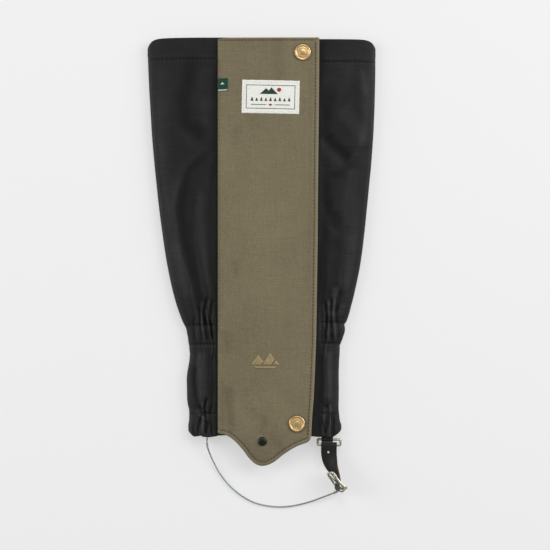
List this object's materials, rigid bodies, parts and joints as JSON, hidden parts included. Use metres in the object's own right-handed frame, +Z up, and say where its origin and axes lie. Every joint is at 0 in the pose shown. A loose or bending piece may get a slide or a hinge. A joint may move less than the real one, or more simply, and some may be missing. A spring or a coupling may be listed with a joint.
{
  "type": "walking gaiter",
  "caption": "Lower-leg walking gaiter: a cloth tube with elastic at the ankle and hem, a front flap that opens sideways, press studs, a lace hook and a wire stirrup.",
  "frame": {"origin": "centre of the footprint, on the surface that the gaiter lies on", "axes": "+Z up through the thickness with the front up, +Y to the knee end, +X to the flap's free edge"},
  "size_m": [0.2168, 0.4469, 0.0227],
  "materials": {
    "shell_cloth": "black proofed woven cloth",
    "elastic_tape": "ribbed elastic",
    "fastening_tape": "hook and loop tape",
    "flap_cloth": "olive proofed canvas",
    "lining_cloth": "dark woven lining",
    "label_cloth": "woven label",
    "tab_cloth": "woven tab",
    "embroidery": "raised embroidery",
    "snap_brass": "antique brass",
    "stud_metal": "nickel",
    "black_metal": "black enamel",
    "ring_steel": "nickel plate",
    "cable_steel": "bare steel cable",
    "strap_leather": "black leather with brown cut edges"
  },
  "bodies": {
    "gaiter": {"left_side_panel": "shell_cloth", "right_side_panel": "shell_cloth", "ankle_elastic": "elastic_tape", "hem_elastic": "elastic_tape", "drawcord_eyelet_left": "black_metal", "drawcord_eyelet_right": "black_metal", "hook_tape": "fastening_tape", "snap_stud_top": "stud_metal", "snap_post_top": "stud_metal", "snap_stud_bottom": "stud_metal", "snap_post_bottom": "stud_metal", "ring_tab": "shell_cloth", "cable_tab": "shell_cloth", "cable_tab_eyelet": "black_metal"},
    "flap": {"front_flap": "flap_cloth", "flap_lining": "lining_cloth", "loop_tape": "fastening_tape", "woven_label": "label_cloth", "side_tab": "tab_cloth", "embroidered_badge": "embroidery", "snap_cap_top": "snap_brass", "snap_socket_top": "stud_metal", "snap_cap_bottom": "snap_brass", "snap_socket_bottom": "stud_metal", "lace_hook": "black_metal", "lace_hook_rivet": "black_metal"},
    "stirrup": {"hem_ring": "ring_steel", "leather_strap": "strap_leather", "buckle_frame": "ring_steel", "stirrup_cable": "cable_steel", "cable_crimp_left": "cable_steel", "cable_crimp_right": "cable_steel", "cable_eye_left": "cable_steel", "cable_eye_right": "cable_steel"},
    "prong": {"buckle_prong": "ring_steel", "strap_tail": "strap_leather"}
  },
  "joints": [
    {"name": "flap_opening", "type": "hinge", "parent": "gaiter", "child": "flap", "pos_m": [-0.04115, 0.0217, 0.014], "axis": [0, -1, 0], "range_deg": [0, 150]},
    {"name": "stirrup_swing", "type": "hinge", "parent": "gaiter", "child": "stirrup", "pos_m": [-0.05135, -0.1643, 0.006], "axis": [-0.9999, 0.0155, 0], "range_deg": [-80, 80]},
    {"name": "prong_lift", "type": "hinge", "parent": "stirrup", "child": "prong", "pos_m": [0.0784, -0.21233, 0.01134], "axis": [0.2272, 0.156, 0.9613], "range_deg": [0, 60]}
  ]
}
